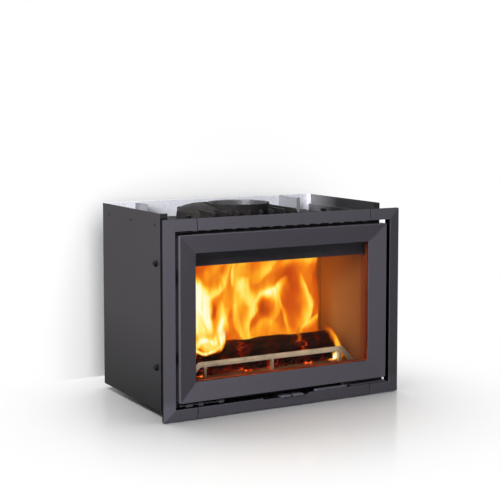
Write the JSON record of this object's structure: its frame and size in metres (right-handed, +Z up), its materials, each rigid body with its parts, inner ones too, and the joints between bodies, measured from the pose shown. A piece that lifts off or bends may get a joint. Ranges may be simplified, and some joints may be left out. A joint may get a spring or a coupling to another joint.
{
  "type": "fireplace insert",
  "caption": "wood-burning fireplace insert with a bevelled surround, glazed side-hinged door, lined firebox, finned cast top with flue collar and open-topped sheet casing",
  "frame": {"origin": "middle of the footprint, on the surface that the levelling feet stand on", "axes": "+X to the right as seen from the front, -Y out of the door towards the room, +Z up"},
  "size_m": [0.7, 0.431, 0.5105],
  "materials": {
    "casing_paint": "fine-textured dark grey stove paint",
    "surround_paint": "satin charcoal stove paint",
    "door_paint": "satin charcoal stove paint on cast iron",
    "black_steel": "matt black heat-resistant paint",
    "cast_iron": "raw dark grey casting with a fine sand texture",
    "galvanised": "zinc-coated sheet with a faint spangle",
    "vermiculite": "pressed heat-resistant board, matt tan",
    "stainless": "brushed stainless steel",
    "glass": "clear ceramic fire glass",
    "rope": "woven dark grey sealing rope",
    "fixings": "blackened steel",
    "zinc_steel": "bright zinc-plated steel"
  },
  "bodies": {
    "insert_body": {"casing_left_panel": "casing_paint", "casing_right_panel": "casing_paint", "casing_back_panel": "galvanised", "casing_base": "galvanised", "levelling_foot_front_left": "zinc_steel", "levelling_foot_front_right": "zinc_steel", "levelling_foot_rear_left": "zinc_steel", "levelling_foot_rear_right": "zinc_steel", "heat_shield_left": "galvanised", "heat_shield_right": "galvanised", "side_screw_left_low": "fixings", "side_screw_left_high": "fixings", "side_screw_right_low": "fixings", "side_screw_right_high": "fixings", "spacer_bracket_left": "galvanised", "spacer_bracket_right": "galvanised", "front_frame": "cast_iron", "firebox_left_wall": "cast_iron", "firebox_right_wall": "cast_iron", "firebox_back_wall": "cast_iron", "firebox_floor": "cast_iron", "top_plate": "cast_iron", "collar_gasket": "rope", "flue_collar": "cast_iron", "top_plate_stud_left": "fixings", "top_plate_stud_right": "fixings", "side_brick_left": "vermiculite", "side_brick_right": "vermiculite", "back_brick": "vermiculite", "hearth_brick": "vermiculite", "rear_air_duct": "cast_iron", "grate": "cast_iron", "ash_box": "black_steel", "air_wash_deflector": "black_steel", "log_retainer": "stainless", "air_valve_housing": "black_steel", "surround_left": "surround_paint", "surround_right": "surround_paint", "surround_top": "surround_paint", "surround_bottom": "surround_paint", "carrier_frame": "black_steel", "surround_bracket_left": "black_steel", "surround_bracket_right": "black_steel", "warm_air_grille": "black_steel", "hinge_bracket_upper": "cast_iron", "hinge_bracket_lower": "cast_iron", "latch_keeper": "cast_iron"},
    "door": {"door_frame": "door_paint", "door_glass": "glass", "glass_packing": "rope", "door_gasket": "rope", "glass_retainer_left": "zinc_steel", "glass_retainer_right": "zinc_steel", "hinge_pin_upper": "zinc_steel", "hinge_pin_lower": "zinc_steel", "latch_pin": "zinc_steel"},
    "latch": {"latch_lever": "door_paint"},
    "left_air_lever": {"air_lever_left": "door_paint"},
    "right_air_lever": {"air_lever_right": "door_paint"},
    "baffle": {"baffle_plate": "vermiculite"}
  },
  "joints": [
    {"name": "door_hinge", "type": "hinge", "parent": "insert_body", "child": "door", "pos_m": [-0.298, -0.2005, 0.2525], "axis": [0, 0, -1], "range_deg": [0, 110]},
    {"name": "latch_pivot", "type": "hinge", "parent": "door", "child": "latch", "pos_m": [0.176, -0.2025, 0.033], "axis": [0, 0, 1], "range_deg": [0, 25]},
    {"name": "left_air_slide", "type": "slide", "parent": "insert_body", "child": "left_air_lever", "axis": [0, -1, 0], "range_m": [0, 0.03]},
    {"name": "right_air_slide", "type": "slide", "parent": "insert_body", "child": "right_air_lever", "axis": [0, -1, 0], "range_m": [0, 0.03]},
    {"name": "baffle_lift", "type": "slide", "parent": "insert_body", "child": "baffle", "axis": [0, 0, 1], "range_m": [0, 0.025]}
  ]
}
